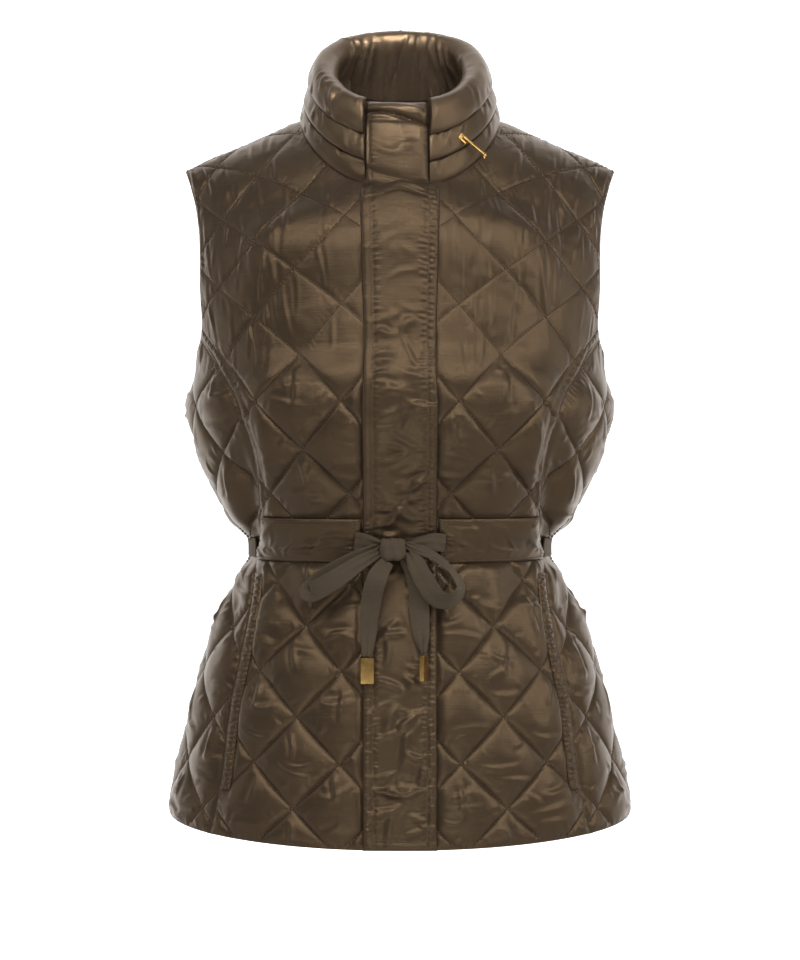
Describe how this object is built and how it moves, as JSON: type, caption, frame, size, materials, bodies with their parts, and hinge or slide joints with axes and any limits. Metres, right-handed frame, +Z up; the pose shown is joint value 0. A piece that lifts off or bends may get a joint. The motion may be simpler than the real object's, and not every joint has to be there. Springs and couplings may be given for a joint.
{
  "type": "quilted vest held up by the shoulders of the figure inside it",
  "caption": "Sleeveless diamond-quilted vest with stand collar, covered front closing and a ribbon tied at the waist, filled out as worn.",
  "frame": {"origin": "midway between the two points where the shoulder seams meet the collar, at the height of those points", "axes": "+Z up, the front faces -Y, +X is the wearer's left"},
  "size_m": [0.4238, 0.3009, 0.7376],
  "materials": {
    "quilted_satin": "padded satin with a soft sheen, diamond quilting",
    "grosgrain": "matte ribbed ribbon",
    "gold_metal": "polished, pale gold",
    "zip_tape": "matte woven tape"
  },
  "bodies": {
    "vest": {"front_left": "quilted_satin", "front_right": "quilted_satin", "side_left": "quilted_satin", "side_right": "quilted_satin", "back": "quilted_satin", "front_zip": "zip_tape", "placket": "quilted_satin", "casing_left": "quilted_satin", "casing_right": "quilted_satin", "pocket_edge_left": "quilted_satin", "pocket_edge_right": "quilted_satin", "collar_stand": "quilted_satin", "collar_middle": "quilted_satin", "collar_roll": "quilted_satin", "collar_tab": "quilted_satin", "zip_slider": "gold_metal", "ribbon_waist": "grosgrain", "ribbon_centre_right": "grosgrain", "ribbon_centre_left": "grosgrain", "bow_loop_right": "grosgrain", "bow_loop_left": "grosgrain", "bow_knot": "grosgrain", "ribbon_tail_right": "grosgrain", "ribbon_tail_left": "grosgrain", "ribbon_tip_right": "gold_metal", "ribbon_tip_left": "gold_metal"},
    "pull": {"zip_pull": "gold_metal"}
  },
  "joints": [
    {"name": "pull_hinge", "type": "hinge", "parent": "vest", "child": "pull", "pos_m": [0.05764, -0.08106, -0.02054], "axis": [-0.4366, -0.4727, -0.7655], "range_deg": [0, 120]}
  ]
}
